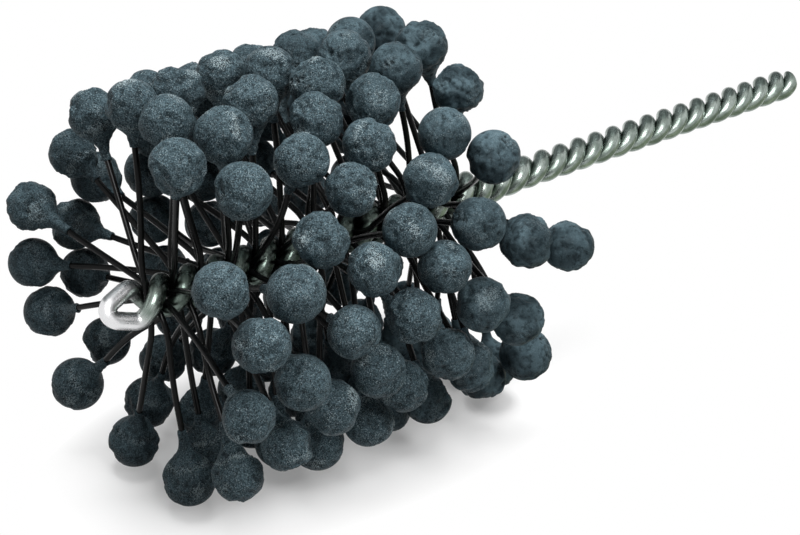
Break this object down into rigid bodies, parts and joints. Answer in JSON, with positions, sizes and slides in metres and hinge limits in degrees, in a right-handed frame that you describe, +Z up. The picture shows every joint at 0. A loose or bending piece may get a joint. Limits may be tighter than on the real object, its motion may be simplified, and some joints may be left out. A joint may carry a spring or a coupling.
{
  "type": "flexible hone",
  "caption": "Flexible ball hone: abrasive globules on nylon filaments held in a twisted wire stem, which a drill turns to deburr and finish a bore.",
  "frame": {"origin": "centre of the square-cut end of the twisted shank, on the stem's axis, where a drill chuck holds it", "axes": "+X along the stem from the loop at the front to the cut shank end, +Z up as the hone lies on its globules, +Y to the left when looking along +X"},
  "size_m": [0.2109, 0.0972, 0.0969],
  "materials": {
    "stem_wire": "galvanised wire, satin with bright streaks",
    "filaments": "black nylon with a soft sheen",
    "globules": "fine silicon carbide grit bonded with resin, matt"
  },
  "bodies": {
    "stem": {"stem_wire": "stem_wire", "filaments_row_01": "filaments", "filaments_row_02": "filaments", "filaments_row_03": "filaments", "filaments_row_04": "filaments", "filaments_row_05": "filaments", "filaments_row_06": "filaments", "filaments_row_07": "filaments", "filaments_row_08": "filaments", "filaments_row_09": "filaments", "filaments_row_10": "filaments", "filaments_row_11": "filaments", "filaments_row_12": "filaments", "filaments_row_13": "filaments", "filaments_row_14": "filaments", "filaments_row_15": "filaments"},
    "globules": {"globules_row_01": "globules", "globules_row_02": "globules", "globules_row_03": "globules", "globules_row_04": "globules", "globules_row_05": "globules", "globules_row_06": "globules", "globules_row_07": "globules", "globules_row_08": "globules", "globules_row_09": "globules", "globules_row_10": "globules", "globules_row_11": "globules", "globules_row_12": "globules", "globules_row_13": "globules", "globules_row_14": "globules", "globules_row_15": "globules"}
  },
  "joints": [
    {"name": "globule_trail", "type": "hinge", "parent": "stem", "child": "globules", "pos_m": [-0.16, 0, 0], "axis": [1, 0, 0], "range_deg": [-12, 12], "stiffness_Nm_per_rad": 0.3, "deforming": ["filaments_row_01", "filaments_row_02", "filaments_row_03", "filaments_row_04", "filaments_row_05", "filaments_row_06", "filaments_row_07", "filaments_row_08", "filaments_row_09", "filaments_row_10", "filaments_row_11", "filaments_row_12", "filaments_row_13", "filaments_row_14", "filaments_row_15"]}
  ]
}
